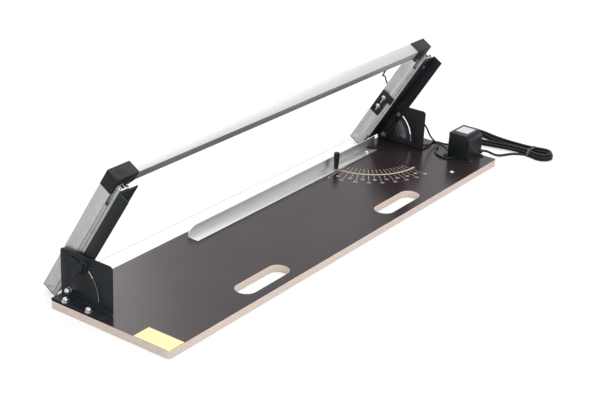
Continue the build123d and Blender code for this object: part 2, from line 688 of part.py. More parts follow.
def transformer_label():
    """Plain rating plate on top, without lettering."""
    z0 = BOARD_T + BOX_H
    return block(BOX_X0 + 20, BOX_X1 - 14, BOX_Y0 + 8, BOX_Y1 - 9, z0, z0 + 0.3)


GLAND_Y, GLAND_Z = BOX_Y0 - COVER_D / 2, BOARD_T + 6.4


def mains_gland():
    """Strain relief for the mains cord at the far side of the cover."""
    x0 = BOX_X1
    body = rod_x(x0, x0 + 5, GLAND_Y, GLAND_Z, 5.6)
    taper = Pos(x0 + 5 + 3.5, GLAND_Y, GLAND_Z) * Rot(0, 90, 0) * Cone(5.2, 4.4, 7.0)
    return (body + taper) - rod_x(x0 - 1, x0 + 30, GLAND_Y, GLAND_Z, CORD_D / 2 + 0.6)


def smooth_route(points):
    """Straight runs joined by arcs as large as the two runs beside each corner allow."""
    vecs = [Vector(*p) for p in points]
    radii = []
    for a, b, c in zip(vecs, vecs[1:], vecs[2:]):
        turn = math.radians((b - a).get_angle(c - b))
        radii.append(0.45 * min((b - a).length, (c - b).length) / math.tan(turn / 2))
    return FilletPolyline(*points, radius=radii)


def cable(points, diameter):
    """Round cord along a route."""
    path = smooth_route(points)
    start = Plane(origin=path @ 0, z_dir=path % 0)
    return sweep(start * Circle(diameter / 2), path=path)


MAINS_ROUTE = [(651.0, -109.0, 24.4), (662.0, -109.5, 24.4), (675.0, -115.0, 21.5), (686.0, -123.5, 14.5),
               (697.0, -131.5, 7.6), (710.0, -138.5, 4.0), (725.0, -146.0, 3.5), (744.0, -156.5, 3.4),
               (757.0, -170.0, 3.4), (768.0, -189.0, 3.4)]


def mains_lead():
    """Mains cord from the gland, over the board's end and along the table to the hank."""
    return cable(MAINS_ROUTE, CORD_D) - cord_hank() - mains_gland()


HANK = [(774.0, 16.0), (752.0, 12.0), (738.0, -8.0), (740.0, -45.0), (752.0, -88.0), (763.0, -140.0),
        (763.0, -196.0), (752.0, -228.0), (757.0, -248.0), (782.0, -257.0), (808.0, -248.0), (813.0, -228.0),
        (802.0, -196.0), (801.0, -140.0), (802.0, -88.0), (811.0, -45.0), (812.0, -8.0), (796.0, 12.0)]
HANK_H = 26.0


def cord_hank():
    """The outer shape of the tied bundle of spare cord, lying on the table."""
    face = make_face(Spline(*HANK, periodic=True))
    return extrude(face, HANK_H)


def cord_tie():
    """Twisted wire tie round the narrow part of the hank."""
    wrap = block(760.5, 805.0, -202.0, -194.0, 0.2, HANK_H + 1.6)
    return wrap - cord_hank()


PLUG_X, PLUG_Y, PLUG_Z = 672.0, -28.0, 19.0          # middle of the plug's front face


def mains_plug():
    """Moulded plug lying between the board's end and the hank, pins towards the board."""
    body = rod_x(PLUG_X, PLUG_X + 34.0, PLUG_Y, PLUG_Z, 18.5)
    body = chamfer(body.edges().filter_by(GeomType.CIRCLE), 2.0)
    neck = Pos(PLUG_X + 46.0, PLUG_Y, PLUG_Z) * Rot(0, 90, 0) * Cone(11.0, 5.2, 26.0)
    return body + neck


def plug_pins():
    """Two round contact pins."""
    pins = [rod_x(PLUG_X - 19.0, PLUG_X, PLUG_Y + dy, PLUG_Z, 2.4) for dy in (-9.5, 9.5)]
    return Compound(pins)


TAIL_ROUTE = [(728.0, -28.0, 19.0), (735.0, -27.6, 19.0), (742.0, -24.0, 19.0), (748.0, -17.0, 18.6)]


def mains_tail():
    """Last stretch of cord, from the hank to the plug."""
    return cable(TAIL_ROUTE, CORD_D) - cord_hank() - mains_plug()


LEAD_BOX = (571.0, 586.0, 32.0, 55.0, 87.0, 112.0)


def lead_box():
    """Small terminal box on the outside of the far plate, where the bow's supply starts."""
    body = block(*LEAD_BOX)
    return fillet(body.edges().filter_by(Axis.X), 3.0)


LEAD_A = [(578.5, 40.0, 93.0), (578.5, 29.0, 92.0), (582.0, 22.0, 83.0), (592.0, 21.0, 70.0),
          (605.0, 23.0, 55.0), (618.0, 23.0, 40.0), (628.0, 17.0, 27.5), (627.0, 4.0, 21.6),
          (614.0, -4.0, 20.6), (598.0, -6.0, 20.5), (582.0, -12.0, 20.5), (568.0, -26.0, 20.5),
          (560.0, -44.0, 20.5), (560.0, -61.0, 20.5), (566.0, -73.0, 21.4), (580.0, -78.0, 25.0)]
LEAD_B = [(578.5, 46.0, 90.0), (578.5, 46.0, 71.0), (578.5, 44.5, 54.0), (578.5, 40.5, 39.0),
          (582.0, 33.0, 28.0), (592.0, 25.0, 24.4), (606.0, 21.0, 22.6), (620.0, 24.0, 20.5),
          (633.0, 29.0, 20.5), (643.0, 23.0, 20.5), (645.0, 9.0, 20.6), (641.0, -7.0, 22.0),
          (636.0, -22.0, 27.0), (633.0, -38.0, 32.0), (632.0, -57.0, 34.0)]


def bow_lead(route):
    """Low-voltage lead, trimmed flush with the two housings that it joins."""
    return cable(route, LEAD_D) - lead_box() - transformer_case() - transformer_base()


def both(make):
    """Like pieces of the two ends as separate solids of one node."""
    solids = []
    for side in SIDES:
        solids += make(side).solids()
    return Compound(solids)


def build():
    nodes = {
        "base_board": base_board(),
        "corner_sticker": corner_sticker(),
        "front_screw": front_screw(),
        "front_screw_washer": front_screw_washer(),
        "tilt_scale_label": tilt_scale_label(),
        "top_bar": top_bar(),
        "wire_spring": wire_spring(),
        "hot_wire": hot_wire(),
        "stop_block": stop_block(),
        "stop_screws": stop_screws(),
        "fence_angle": fence_angle(),
        "fence_pivot_bolt": fence_pivot_bolt(),
        "board_nuts": board_nuts(),
        "jumper_lead": jumper_lead(),
        "fence_stud": fence_stud(),
        "fence_knob": fence_knob(),
        "transformer_base": transformer_base(),
        "transformer_screws": transformer_screws(),
        "transformer_case": transformer_case(),
        "transformer_cover": transformer_cover(),
        "transformer_label": transformer_label(),
        "mains_gland": mains_gland(),
        "mains_lead": mains_lead(),
        "cord_hank": cord_hank(),
        "cord_tie": cord_tie(),
        "mains_tail": mains_tail(),
        "mains_plug": mains_plug(),
        "plug_pins": plug_pins(),
        "lead_box": lead_box(),
        "bow_lead_a": bow_lead(LEAD_A),
        "bow_lead_b": bow_lead(LEAD_B),
    }
    separate = {"bracket": bracket, "rail": rail, "slide_outer": slide_outer, "slide_middle": slide_middle,
                "slide_inner": slide_inner, "clamp_lever": clamp_lever, "arm": arm, "elbow": elbow}
    grouped = {"foot_bolts": foot_bolts, "rail_screws": rail_screws,
               "ball_cages": ball_cages, "pivot_bolts": pivot_bolt, "pivot_nuts": pivot_nut,
               "pivot_shims": pivot_shim, "clamp_bolts": clamp_bolt, "clamp_washers": clamp_washer,
               "arm_screws": arm_screws, "arm_feet": arm_foot, "elbow_screws": elbow_screws,
               "anchor_insulators": anchor_insulator, "anchor_screws": anchor_screw}
    for name, make in separate.items():
        for side in SIDES:
            nodes[side + "_" + name] = make(side)
    for name, make in grouped.items():
        nodes[name] = both(make)
    return nodes


os.makedirs("parts", exist_ok=True)
for name, shape in build().items():
    export_step(shape, "parts/" + name + ".step")
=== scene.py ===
import math

import bmesh
import bpy
from mathutils import Matrix, Quaternion, Vector


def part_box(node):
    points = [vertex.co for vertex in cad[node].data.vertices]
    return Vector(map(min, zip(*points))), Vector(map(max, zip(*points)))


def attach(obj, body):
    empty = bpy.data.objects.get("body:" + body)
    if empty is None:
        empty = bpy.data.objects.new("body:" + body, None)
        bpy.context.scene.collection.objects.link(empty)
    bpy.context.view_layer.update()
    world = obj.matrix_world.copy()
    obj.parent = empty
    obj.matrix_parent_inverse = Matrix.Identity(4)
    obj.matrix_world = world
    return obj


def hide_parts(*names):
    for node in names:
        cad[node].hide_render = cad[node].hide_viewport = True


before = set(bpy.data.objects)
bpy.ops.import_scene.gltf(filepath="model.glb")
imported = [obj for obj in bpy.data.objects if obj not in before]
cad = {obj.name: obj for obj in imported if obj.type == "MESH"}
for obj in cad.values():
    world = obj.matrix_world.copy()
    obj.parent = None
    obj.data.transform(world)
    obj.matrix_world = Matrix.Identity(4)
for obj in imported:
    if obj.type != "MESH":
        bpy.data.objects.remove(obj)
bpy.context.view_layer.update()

# ---- camera and light ---------------------------------------------------------------------
# A long lens a few metres off the near front corner, rolled slightly, under a white sky with
# large soft boxes: one overhead, one at the front and one behind.
CAMERA_AT = Vector((-2.3594, -1.6422, 1.3514))
CAMERA_LOOK = Vector((0.74856, 0.52335, -0.40714))
CAMERA_ROLL = math.radians(2.77)
FOCAL_MM, SENSOR_MM = 81.66, 36.0

lens = bpy.data.cameras.new("camera")
lens.lens, lens.sensor_width = FOCAL_MM, SENSOR_MM
camera = bpy.data.objects.new("camera", lens)
camera.location = CAMERA_AT
camera.rotation_mode = "QUATERNION"
camera.rotation_quaternion = CAMERA_LOOK.to_track_quat("-Z", "Y") @ Quaternion((0, 0, 1), CAMERA_ROLL)
bpy.context.scene.collection.objects.link(camera)
bpy.context.scene.camera = camera
bpy.context.scene.view_settings.view_transform = "Standard"


def soft_box(name, place, aim, size, watts):
    """Square area light at place, shining at aim."""
    light = bpy.data.lights.new(name, "AREA")
    light.shape, light.size, light.energy = "SQUARE", size, watts
    lamp = bpy.data.objects.new(name, light)
    lamp.location = place
    lamp.rotation_mode = "QUATERNION"
    lamp.rotation_quaternion = (Vector(aim) - Vector(place)).to_track_quat("-Z", "Y")
    bpy.context.scene.collection.objects.link(lamp)


soft_box("overhead_box", (0.3, 0.2, 2.8), (0.1, 0.0, 0.0), 3.4, 34.0)
soft_box("front_box", (-1.2, -2.8, 1.6), (0.0, 0.0, 0.1), 1.6, 20.0)
soft_box("back_box", (1.2, 2.6, 2.0), (0.0, 0.0, 0.2), 1.8, 18.0)

WHITE = (1.0, 1.0, 1.0, 1.0)
SKY_STRENGTH = 0.92
sky = bpy.data.worlds.new("white_sky")
sky.use_nodes = True
background = sky.node_tree.nodes["Background"]
background.inputs["Color"].default_value = WHITE
background.inputs["Strength"].default_value = SKY_STRENGTH
bpy.context.scene.world = sky

FLOOR_HALF = 12.0
FLOOR_GREY, FLOOR_GLOW = 0.42, 0.56
floor_mesh = bpy.data.meshes.new("floor")
corners = [(-FLOOR_HALF, -FLOOR_HALF, 0), (FLOOR_HALF, -FLOOR_HALF, 0),
           (FLOOR_HALF, FLOOR_HALF, 0), (-FLOOR_HALF, FLOOR_HALF, 0)]
floor_mesh.from_pydata(corners, [], [(0, 1, 2, 3)])
floor = bpy.data.objects.new("floor", floor_mesh)
bpy.context.scene.collection.objects.link(floor)
paper_roll = bpy.data.materials.new("paper_roll")
paper_roll.use_nodes = True
paper_tree = paper_roll.node_tree
paper_shader = paper_tree.nodes["Principled BSDF"]
paper_shader.inputs["Base Color"].default_value = (FLOOR_GREY, FLOOR_GREY, FLOOR_GREY, 1.0)
paper_shader.inputs["Roughness"].default_value = 0.95
paper_shader.inputs["Specular IOR Level"].default_value = 0.1
paper_shader.inputs["Emission Color"].default_value = WHITE
# The roll shows white and almost shadowless, but lights the part from below only weakly.
seen = paper_tree.nodes.new("ShaderNodeLightPath")
glow = paper_tree.nodes.new("ShaderNodeMath")
glow.operation = "MULTIPLY"
glow.inputs[1].default_value = FLOOR_GLOW
paper_tree.links.new(seen.outputs["Is Camera Ray"], glow.inputs[0])
paper_tree.links.new(glow.outputs[0], paper_shader.inputs["Emission Strength"])
floor_mesh.materials.append(paper_roll)


# ---- base board ---------------------------------------------------------------------------
# Eighteen-millimetre birch plywood faced with dark brown phenolic film, sawn to size and left
# raw at the edges, so that the pale plies show round the board and inside the hand slots.
def new_group(name, inputs, outputs):
    """Empty node group with float or colour inputs and outputs, and its two end nodes."""
    group = bpy.data.node_groups.new(name, "ShaderNodeTree")
    kinds = {"value": "NodeSocketFloat", "colour": "NodeSocketColor", "normal": "NodeSocketVector"}
    for label, kind, default in inputs:
        socket = group.interface.new_socket(label, in_out="INPUT", socket_type=kinds[kind])
        socket.default_value = default
    for label, kind in outputs:
        group.interface.new_socket(label, in_out="OUTPUT", socket_type=kinds[kind])
    return group, group.nodes.new("NodeGroupInput"), group.nodes.new("NodeGroupOutput")


def add(tree, kind, values=(), **settings):
    """New node with its settings, and with sockets given as (name or index, value or socket)."""
    node = tree.nodes.new(kind)
    for key, value in settings.items():
        setattr(node, key, value)
    for key, value in values:
        if isinstance(value, bpy.types.NodeSocket):
            tree.links.new(value, node.inputs[key])
        else:
            node.inputs[key].default_value = value
    return node


def ramp(tree, factor, *stops):
    """Colour ramp over factor, with stops of (position, colour)."""
    node = add(tree, "ShaderNodeValToRGB", [("Fac", factor)])
    while len(node.color_ramp.elements) < len(stops):
        node.color_ramp.elements.new(0.5)
    for element, (position, colour) in zip(node.color_ramp.elements, stops):
        element.position = position
        element.color = (*colour, 1.0)
    return node.outputs["Color"]


def mix(tree, factor, a, b):
    """Colour a where factor is 0, b where it is 1."""
    node = add(tree, "ShaderNodeMix", [("Factor", factor)], data_type="RGBA")
    for socket, value in ((6, a), (7, b)):
        if isinstance(value, bpy.types.NodeSocket):
            tree.links.new(value, node.inputs[socket])
        else:
            node.inputs[socket].default_value = (*value, 1.0)
    return node.outputs[2]


def maths(tree, operation, a, b=0.0, clamp=False):
    node = add(tree, "ShaderNodeMath", [(0, a), (1, b)], operation=operation, use_clamp=clamp)
    return node.outputs[0]


def new_material(name, metallic=0.0, **sockets):
    """Principled material; sockets that are the same all over are set on the shader itself."""
    material = bpy.data.materials.new(name)
    material.use_nodes = True
    shader = material.node_tree.nodes["Principled BSDF"]
    shader.inputs["Metallic"].default_value = metallic
    for key, value in sockets.items():
        shader.inputs[key.replace("_", " ")].default_value = value
    return material, material.node_tree, shader


def cloud_at(tree, place, scale, detail):
    """Soft noise over place."""
    return add(tree, "ShaderNodeTexNoise",
               [("Vector", place), ("Scale", scale), ("Detail", detail)]).outputs["Fac"]


def skin_bump(tree, shader, height, strength, distance):
    """Fine surface relief from a height socket."""
    bump = add(tree, "ShaderNodeBump",
               [("Strength", strength), ("Distance", distance), ("Height", height)])
    tree.links.new(bump.outputs["Normal"], shader.inputs["Normal"])


def make_grain():
    """Stretched noise in the part's own directions: wood grain, brushing or drawing marks."""
    group, given, made = new_group(
        "grain",
        [("Along X", "value", 10.0), ("Along Y", "value", 10.0), ("Along Z", "value", 10.0),
         ("Detail", "value", 6.0), ("Height", "value", 0.0002)],
        [("Mask", "value"), ("Normal", "normal")])
    place = add(group, "ShaderNodeTexCoord").outputs["Object"]
    scale = add(group, "ShaderNodeCombineXYZ", [(k, given.outputs[k]) for k in range(3)]).outputs[0]
    stretched = add(group, "ShaderNodeVectorMath", [(0, place), (1, scale)],
                    operation="MULTIPLY").outputs[0]
    noise = add(group, "ShaderNodeTexNoise", [("Vector", stretched), ("Scale", 1.0),
                                              ("Detail", given.outputs["Detail"])]).outputs["Fac"]
    bump = add(group, "ShaderNodeBump", [("Strength", 1.0), ("Distance", given.outputs["Height"]),
                                         ("Height", noise)]).outputs["Normal"]
    group.links.new(noise, made.inputs["Mask"])
    group.links.new(bump, made.inputs["Normal"])
    return group


GRAIN = make_grain()
PLY_COUNT = 13
BOARD_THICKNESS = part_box("base_board")[1].z


def film_faced_ply():
    """Film on the two faces, chosen by the way the surface faces, and plies on every edge."""
    material, tree, shader = new_material("film_faced_ply", Specular_IOR_Level=0.38,
                                          Specular_Tint=(1.0, 0.90, 0.97, 1.0))
    geometry = add(tree, "ShaderNodeNewGeometry")
    facing = add(tree, "ShaderNodeSeparateXYZ", [(0, geometry.outputs["True Normal"])]).outputs["Z"]
    film = maths(tree, "GREATER_THAN", maths(tree, "ABSOLUTE", facing), 0.6)
    place = add(tree, "ShaderNodeTexCoord").outputs["Object"]
    height = add(tree, "ShaderNodeSeparateXYZ", [(0, place)]).outputs["Z"]
    waver = cloud_at(tree, place, 22.0, 3.0)
    level = maths(tree, "ADD", maths(tree, "MULTIPLY", height, PLY_COUNT / BOARD_THICKNESS),
                  maths(tree, "MULTIPLY", waver, 0.35))
    ply = maths(tree, "PINGPONG", level, 1.0)
    grain = add(tree, "ShaderNodeGroup", [("Along X", 90.0), ("Along Y", 90.0), ("Along Z", 1400.0),
                                          ("Height", 0.0001)], node_tree=GRAIN)
    long_ply = ramp(tree, grain.outputs["Mask"], (0.3, (0.84, 0.71, 0.64)), (0.7, (0.97, 0.88, 0.82)))
    end_ply = ramp(tree, grain.outputs["Mask"], (0.3, (0.60, 0.45, 0.38)), (0.7, (0.82, 0.67, 0.59)))
    plies = mix(tree, maths(tree, "GREATER_THAN", ply, 0.55), long_ply, end_ply)
    cloud = cloud_at(tree, place, 7.0, 6.0)
    sheet = ramp(tree, cloud, (0.35, (0.024, 0.016, 0.018)), (0.65, (0.031, 0.022, 0.024)))
    tree.links.new(mix(tree, film, plies, sheet), shader.inputs["Base Color"])
    print_mesh = add(tree, "ShaderNodeTexVoronoi", [("Vector", place), ("Scale", 900.0)])
    scuffs = add(tree, "ShaderNodeTexNoise", [("Vector", place), ("Scale", 60.0), ("Detail", 8.0),
                                              ("Roughness", 0.7)]).outputs["Fac"]
    film_rough = add(tree, "ShaderNodeMapRange",
                     [("Value", scuffs), ("From Min", 0.3), ("From Max", 0.7),
                      ("To Min", 0.21), ("To Max", 0.26)]).outputs[0]
    rough = add(tree, "ShaderNodeMix", [("Factor", film), ("A", 0.8), ("B", film_rough)]).outputs[0]
    tree.links.new(rough, shader.inputs["Roughness"])
    skin_bump(tree, shader, print_mesh.outputs["Distance"], 0.07, 0.0002)
    return material


def finish_cad(node, material):
    """A carried-over CAD node keeps its shape and takes a detailed material."""
    mesh = cad[node].data
    mesh.materials.clear()
    mesh.materials.append(material)


finish_cad("base_board", film_faced_ply())


# ---- printed marks and sticker ------------------------------------------------------------
# The fence's degree scale is screen printed on the film in cream; the blank sticker at the front
# corner is yellow paper.
def new_piece(name, mesh, body, material):
    """Object of a finished mesh, riding on its body, with the slot it is painted from."""
    piece = bpy.data.objects.new(name, mesh)
    bpy.context.scene.collection.objects.link(piece)
    mesh.materials.clear()
    mesh.materials.append(material)
    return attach(piece, body)


def vary_roughness(tree, shader, factor, low, high):
    """Roughness from low to high as factor goes from 0 to 1."""
    spread = add(tree, "ShaderNodeMapRange", [("Value", factor), ("To Min", low), ("To Max", high)])
    tree.links.new(spread.outputs[0], shader.inputs["Roughness"])


def clouded(name, scale, detail, low, high, rough=None, stops=(0.35, 0.65), **sockets):
    """Material whose tone drifts from low to high, and whose roughness may drift with it."""
    material, tree, shader = new_material(name, **sockets)
    cloud = add(tree, "ShaderNodeTexNoise", [("Scale", scale), ("Detail", detail)]).outputs["Fac"]
    tone = ramp(tree, cloud, (stops[0], low), (stops[1], high))
    tree.links.new(tone, shader.inputs["Base Color"])
    if rough:
        vary_roughness(tree, shader, cloud, *rough)
    return material


def printed(name, colour):
    """Slightly rubbed print or ink."""
    worn = tuple(0.72 * c for c in colour)
    return clouded(name, 260.0, 5.0, worn, colour, stops=(0.35, 0.55), Roughness=0.55)


CREAM_INK = printed("cream_ink", (0.80, 0.74, 0.62))
PIVOT = Vector((0.453, 0.117))
SCALE_R = 0.1433
INK_Z = BOARD_THICKNESS + 0.0001


def flat_bar(bm, a, b, width, up=Vector((0, 0, 1))):
    """Thin printed line from a to b."""
    along = (b - a).normalized()
    side = along.cross(up) * width / 2
    bm.faces.new([bm.verts.new(p) for p in (a + side, b + side, b - side, a - side)])


def add_text(bm, words, size, matrix):
    """Filled figures of the plain built-in face, centred on the matrix's origin."""
    curve = bpy.data.curves.new("figures", "FONT")
    curve.body, curve.size = words, size
    curve.align_x = curve.align_y = "CENTER"
    text = bpy.data.objects.new("figures", curve)
    bpy.context.scene.collection.objects.link(text)
    mesh = bpy.data.meshes.new_from_object(text)
    mesh.transform(matrix)
    bm.from_mesh(mesh)
    bpy.data.objects.remove(text)
    bpy.data.meshes.remove(mesh)


def on_board(radius, degrees):
    """Point on the film at a radius from the fence pivot, turned from -X towards -Y."""
    a = math.radians(degrees)
    return Vector((PIVOT.x - radius * math.cos(a), PIVOT.y - radius * math.sin(a), INK_Z))


OUTSIDE_R, INSIDE_R0, INSIDE_R1 = SCALE_R + 0.007, SCALE_R - 0.032, SCALE_R - 0.006
LINE_W, FIGURE_H, FIGURE_GAP = 0.0008, 0.011, 0.008
TENS_R, FIVES_R, SHRINK_PER_DEGREE = 0.182, 0.201, 0.00016


def degree_scale():
    """Ticks both sides of the curved slot, every five degrees, with a figure outside each."""
    bm = bmesh.new()
    for degrees in range(5, 90, 5):
        figures_r = (FIVES_R if degrees % 10 else TENS_R) - SHRINK_PER_DEGREE * degrees
        for start, end in ((OUTSIDE_R, figures_r - FIGURE_GAP), (INSIDE_R0, INSIDE_R1)):
            flat_bar(bm, on_board(start, degrees), on_board(end, degrees), LINE_W)
        turn = Matrix.Rotation(math.radians(degrees + 90), 4, "Z")
        add_text(bm, str(degrees), FIGURE_H, Matrix.Translation(on_board(figures_r, degrees)) @ turn)
    mesh = bpy.data.meshes.new("degree_scale")
    bm.to_mesh(mesh)
    bm.free()
    return mesh


new_piece("degree_scale", degree_scale(), "base", CREAM_INK)


def sticker_paper():
    material, tree, shader = new_material("sticker_paper", Roughness=0.6)
    fibres = add(tree, "ShaderNodeGroup", [("Along X", 400.0), ("Along Y", 150.0), ("Height", 0.00005)],
                 node_tree=GRAIN)
    tone = ramp(tree, fibres.outputs["Mask"], (0.3, (0.93, 0.72, 0.34)), (0.7, (0.99, 0.83, 0.47)))
    tree.links.new(tone, shader.inputs["Base Color"])
    tree.links.new(fibres.outputs["Normal"], shader.inputs["Normal"])
    return material


finish_cad("corner_sticker", sticker_paper())


# ---- end brackets -------------------------------------------------------------------------
# Three-millimetre steel sheet, folded and punched, powder coated blue-black with a fine skin;
# domed zinc nuts hold the feet on bolts whose heads are sunk in the board's underside.
def make_edge_wear():
    """Mask of outside edges, broken up by noise: rubbed by handling, and on the mouldings also a painted
    edge highlight.
    """
    group, given, made = new_group(
        "edge_wear_and_highlight", [("Width", "value", 0.001), ("Amount", "value", 1.0)], [("Mask", "value")])
    rounded = add(group, "ShaderNodeBevel", [("Radius", given.outputs["Width"])], samples=6)
    flat = add(group, "ShaderNodeNewGeometry").outputs["Normal"]
    alike = add(group, "ShaderNodeVectorMath", [(0, rounded.outputs[0]), (1, flat)],
                operation="DOT_PRODUCT").outputs[1]
    edge = maths(group, "SUBTRACT", 1.0, alike, clamp=True)
    noise = add(group, "ShaderNodeTexNoise", [("Scale", 140.0), ("Detail", 5.0)]).outputs["Fac"]
    broken = maths(group, "MULTIPLY", edge, noise)
    mask = maths(group, "MULTIPLY", broken, given.outputs["Amount"], clamp=True)
    group.links.new(mask, made.inputs["Mask"])
    return group


EDGE_WEAR_AND_HIGHLIGHT = make_edge_wear()


def powder_coat():
    material, tree, shader = new_material("powder_coat", Specular_IOR_Level=0.3)
    place = add(tree, "ShaderNodeTexCoord").outputs["Object"]
    skin = cloud_at(tree, place, 700.0, 3.0)
    cloud = cloud_at(tree, place, 18.0, 5.0)
    coat = ramp(tree, cloud, (0.35, (0.010, 0.013, 0.016)), (0.65, (0.016, 0.020, 0.024)))
    edge_mask = add(tree, "ShaderNodeGroup", [("Width", 0.0012), ("Amount", 1.4)], node_tree=EDGE_WEAR_AND_HIGHLIGHT)
    worn = mix(tree, edge_mask.outputs["Mask"], coat, (0.15, 0.16, 0.17))
    tree.links.new(worn, shader.inputs["Base Color"])
    vary_roughness(tree, shader, skin, 0.36, 0.52)
    skin_bump(tree, shader, skin, 0.25, 0.0002)
    return material


def zinc_plate(name, low, high):
    """Bright or dulled zinc on steel, slightly uneven."""
    return clouded(name, 160.0, 4.0, low, high, rough=(0.16, 0.38), metallic=1.0)


POWDER_COAT = powder_coat()
ZINC = zinc_plate("zinc_plate", (0.62, 0.63, 0.65), (0.80, 0.81, 0.82))
DULL_ZINC = zinc_plate("dull_zinc", (0.20, 0.21, 0.22), (0.34, 0.35, 0.36))
EASED_ANGLE = math.radians(28)


def eased(node, body, material, radius):
    """Stands for a CAD node: the same shape with its sharp edges broken to a small radius."""
    bm = bmesh.new()
    bm.from_mesh(cad[node].data)
    bmesh.ops.remove_doubles(bm, verts=bm.verts, dist=1e-6)
    bmesh.ops.dissolve_limit(bm, angle_limit=math.radians(0.4), verts=bm.verts, edges=bm.edges)
    mesh = bpy.data.meshes.new(node + "_eased")
    bm.to_mesh(mesh)
    bm.free()
    mesh.shade_smooth()
    piece = new_piece(node + "_eased", mesh, body, material)
    bevel = piece.modifiers.new("broken_edges", "BEVEL")
    bevel.limit_method, bevel.angle_limit = "ANGLE", EASED_ANGLE
    bevel.width, bevel.segments, bevel.harden_normals = radius, 2, True
    bevel.miter_outer = "MITER_ARC"
    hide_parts(node)


for side in ("near", "far"):
    eased(side + "_bracket", "base", POWDER_COAT, 0.0005)
for node in ("foot_bolts", "board_nuts", "front_screw"):
    finish_cad(node, ZINC)


BLACK_OXIDE = clouded("black_oxide", 300.0, 4.0, (0.03, 0.03, 0.03), (0.07, 0.07, 0.07),
                      rough=(0.4, 0.6), metallic=0.6)
finish_cad("front_screw_washer", BLACK_OXIDE)

# The tilt scale is a printed foil inside the far plate's curved slot, ticked every three degrees.
TILT_AXIS = Vector((0.0, 0.136, 0.036))
TICK_FROM, TICK_TO, TICK_STEP = 36, 90, 3
TICK_R0, LONG_TICK_R0, TICK_R1, TICK_W = 0.054, 0.048, 0.066, 0.0007


def tilt_scale_marks():
    """Radial ticks about the tilt axis, every third one longer."""
    bm = bmesh.new()
    foil_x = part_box("tilt_scale_label")[0].x - 0.0001
    centre = Vector((foil_x, TILT_AXIS.y, TILT_AXIS.z))
    for degrees in range(TICK_FROM, TICK_TO, TICK_STEP):
        a = math.radians(degrees)
        ray = Vector((0, -math.sin(a), math.cos(a)))
        inner = TICK_R0 if degrees % (3 * TICK_STEP) else LONG_TICK_R0
        flat_bar(bm, centre + ray * inner, centre + ray * TICK_R1, TICK_W, Vector((-1, 0, 0)))
    mesh = bpy.data.meshes.new("tilt_scale_marks")
    bm.to_mesh(mesh)
    bm.free()
    return mesh


GREY_FOIL = clouded("grey_foil", 120.0, 5.0, (0.035, 0.042, 0.045), (0.055, 0.063, 0.066),
                    Roughness=0.5)
GREY_INK = printed("grey_ink", (0.55, 0.58, 0.58))
finish_cad("tilt_scale_label", GREY_FOIL)
new_piece("tilt_scale_marks", tilt_scale_marks(), "base", GREY_INK)


# ---- tilting frame ------------------------------------------------------------------------
# Each end has a coated steel angle that swings on a shoulder bolt; it carries the fixed member
# of a zinc-plated drawer slide, whose middle member runs on caged balls.
def drawn_metal(name, lengths, low, high, rough):
    """Metal with faint drawing lines, given how fine they are along X, Y and Z."""
    material, tree, shader = new_material(name, metallic=1.0)
    lines = add(tree, "ShaderNodeGroup", [*enumerate(lengths), ("Height", 0.00002)], node_tree=GRAIN)
    tone = ramp(tree, lines.outputs["Mask"], (0.3, low), (0.7, high))
    tree.links.new(tone, shader.inputs["Base Color"])
    vary_roughness(tree, shader, lines.outputs["Mask"], *rough)
    tree.links.new(lines.outputs["Normal"], shader.inputs["Normal"])
    return material


SLIDE_STEEL = drawn_metal("slide_steel", (900.0, 60.0, 40.0), (0.58, 0.60, 0.60), (0.76, 0.78, 0.78),
                          (0.26, 0.44))
for side in ("near", "far"):
    eased(side + "_rail", "tilt_frame", POWDER_COAT, 0.0005)
    finish_cad(side + "_slide_outer", SLIDE_STEEL)
    finish_cad(side + "_slide_middle", SLIDE_STEEL)
    finish_cad(side + "_slide_inner", SLIDE_STEEL)
for node in ("ball_cages", "pivot_nuts", "clamp_washers"):
    finish_cad(node, ZINC)
for node in ("rail_screws", "pivot_bolts", "clamp_bolts"):
    finish_cad(node, DULL_ZINC)


NYLON = clouded("nylon", 200.0, 3.0, (0.74, 0.73, 0.69), (0.82, 0.81, 0.78), stops=(0.3, 0.7),
                Roughness=0.45, Subsurface_Weight=0.1)
finish_cad("pivot_shims", NYLON)


# ---- bow ----------------------------------------------------------------------------------
# Anodised aluminium tube, arms and top bar joined by moulded corners; the hot wire is strung
# between the feet of the arms with a spring at the near end.
def anodised(name, along_x, tone_low, tone_high):
    """Satin anodising, drawn along X or along the arm."""
    lengths = (6.0, 900.0, 900.0) if along_x else (900.0, 60.0, 30.0)
    return drawn_metal(name, lengths, (tone_low,) * 3, (tone_high,) * 3, (0.36, 0.50))


def moulding(name, dark, light, roughness):
    """Moulded black plastic with a spark-eroded skin; its edges are paled partly by rubbing and partly
    by a painted highlight.
    """
    material, tree, shader = new_material(name, Specular_IOR_Level=0.28)
    place = add(tree, "ShaderNodeTexCoord").outputs["Object"]
    skin = cloud_at(tree, place, 1100.0, 2.0)
    cloud = cloud_at(tree, place, 25.0, 4.0)
    tone = ramp(tree, cloud, (0.35, dark), (0.65, light))
    # Pale edges: partly rubbed wear, partly a painted highlight where the edges catch the light.
    edge_mask = add(tree, "ShaderNodeGroup", [("Width", 0.0012), ("Amount", 2.2)], node_tree=EDGE_WEAR_AND_HIGHLIGHT)
    pale_edge_and_highlight = tuple(min(1.0, 3.0 * c + 0.03) for c in light)
    tree.links.new(mix(tree, edge_mask.outputs["Mask"], tone, pale_edge_and_highlight), shader.inputs["Base Color"])
    vary_roughness(tree, shader, skin, roughness - 0.07, roughness + 0.07)
    skin_bump(tree, shader, skin, 0.3, 0.00015)
    return material


